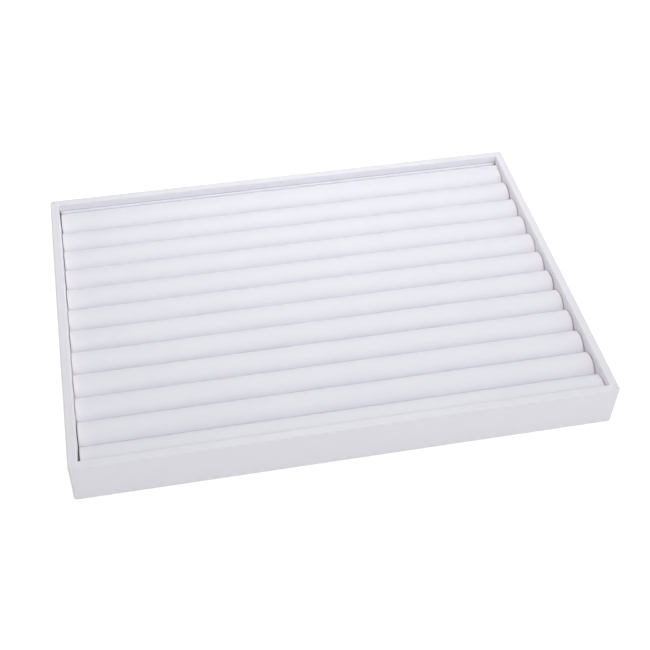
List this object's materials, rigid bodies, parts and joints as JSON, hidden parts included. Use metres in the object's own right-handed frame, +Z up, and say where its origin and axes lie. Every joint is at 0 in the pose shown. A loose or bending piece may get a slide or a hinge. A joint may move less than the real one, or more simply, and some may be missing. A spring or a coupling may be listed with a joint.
{
  "type": "jewelry display tray",
  "caption": "Shallow rectangular white display tray with thin wrapped walls and a lift-out insert of soft padded rolls side by side, with slots between them that hold finger rings.",
  "frame": {"origin": "middle of the underside, on the surface the tray stands on", "axes": "+X along the rolls and the long side, +Y from the front wall to the back wall, +Z up"},
  "size_m": [0.35, 0.25, 0.032],
  "materials": {
    "wall_leatherette": "matte",
    "roll_leatherette": "matte",
    "board": "matte",
    "insert_board": "matte",
    "strip_card": "matte",
    "foam": "matte",
    "floor_liner": "matte",
    "base_liner": "matte"
  },
  "bodies": {
    "tray": {"base_liner": "base_liner", "base_board": "board", "floor_liner": "floor_liner", "front_wall": "board", "back_wall": "board", "left_wall": "board", "right_wall": "board", "wall_wrap": "wall_leatherette"},
    "insert": {"insert_board": "insert_board", "rear_strip": "strip_card", "rear_strip_cover": "roll_leatherette", "roll_core_01": "foam", "roll_core_02": "foam", "roll_core_03": "foam", "roll_core_04": "foam", "roll_core_05": "foam", "roll_core_06": "foam", "roll_core_07": "foam", "roll_core_08": "foam", "roll_core_09": "foam", "roll_core_10": "foam", "roll_core_11": "foam", "roll_core_12": "foam", "roll_cover_01": "roll_leatherette", "roll_cover_02": "roll_leatherette", "roll_cover_03": "roll_leatherette", "roll_cover_04": "roll_leatherette", "roll_cover_05": "roll_leatherette", "roll_cover_06": "roll_leatherette", "roll_cover_07": "roll_leatherette", "roll_cover_08": "roll_leatherette", "roll_cover_09": "roll_leatherette", "roll_cover_10": "roll_leatherette", "roll_cover_11": "roll_leatherette", "roll_cover_12": "roll_leatherette"}
  },
  "joints": [
    {"name": "insert_lift", "type": "slide", "parent": "tray", "child": "insert", "axis": [0, 0, 1], "range_m": [0, 0.06]}
  ]
}
